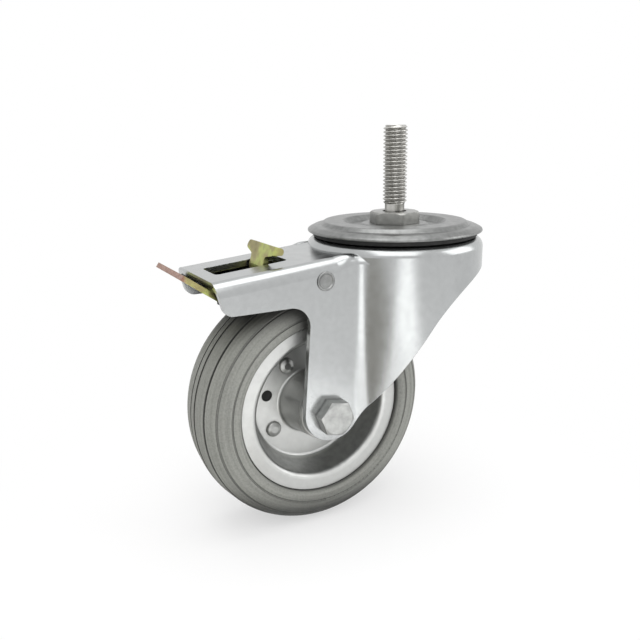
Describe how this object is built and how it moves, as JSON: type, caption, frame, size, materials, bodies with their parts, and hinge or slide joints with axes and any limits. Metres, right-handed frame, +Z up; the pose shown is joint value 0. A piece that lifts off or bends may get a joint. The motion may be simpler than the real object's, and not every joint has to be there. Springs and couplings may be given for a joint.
{
  "type": "stem castor",
  "caption": "Swivel castor with a threaded stem, hex collar, double ball race head, pressed zinc fork with foot brake, and a grey rubber wheel on riveted steel rim halves.",
  "frame": {"origin": "on the swivel axis, at the top face of the hex collar, where the stem enters the leg or bracket", "axes": "+Z up along the threaded stem, +X towards the leading side of the swivel head (the wheel trails to -X), -Y towards the side with the head of the axle bolt"},
  "size_m": [0.1362, 0.074, 0.1606],
  "materials": {
    "stem_steel": "satin",
    "zinc_sheet": "satin zinc",
    "black_rubber": "matt",
    "bright_steel": "polished",
    "bolt_zinc": "satin zinc",
    "spring_steel": "oiled",
    "grey_rubber": "matt",
    "rim_zinc": "bright zinc",
    "cage_plastic": "matt",
    "yellow_zinc": "yellow passivated"
  },
  "bodies": {
    "mount": {"threaded_stem": "stem_steel", "top_plate": "zinc_sheet", "dust_seal": "black_rubber", "upper_balls": "bright_steel", "lower_cup": "zinc_sheet", "lower_balls": "bright_steel", "kingpin_washer": "zinc_sheet"},
    "fork": {"fork": "zinc_sheet", "axle_bolt": "bolt_zinc", "axle_washer": "bolt_zinc", "axle_nut": "bolt_zinc", "axle_tube": "stem_steel", "brake_pin": "bolt_zinc", "brake_spring": "spring_steel"},
    "wheel": {"tyre": "grey_rubber", "rim_near": "rim_zinc", "rim_far": "rim_zinc", "rim_rivets": "bolt_zinc", "air_plug": "black_rubber", "hub_tube": "stem_steel", "roller_cage": "cage_plastic", "rollers": "bright_steel", "dust_cap_near": "rim_zinc", "dust_cap_far": "rim_zinc"},
    "brake": {"brake_lever": "yellow_zinc", "brake_shoe": "black_rubber", "shoe_rivet": "bolt_zinc"}
  },
  "joints": [
    {"name": "swivel", "type": "hinge", "parent": "mount", "child": "fork", "pos_m": [0, 0, -0.01], "axis": [0, 0, 1], "continuous": true},
    {"name": "wheel_spin", "type": "hinge", "parent": "fork", "child": "wheel", "pos_m": [-0.0433, 0, -0.0755], "axis": [0, -1, 0], "continuous": true},
    {"name": "brake_press", "type": "hinge", "parent": "fork", "child": "brake", "pos_m": [-0.0455, 0, -0.0213], "axis": [0, -1, 0], "range_deg": [0, 8]}
  ]
}
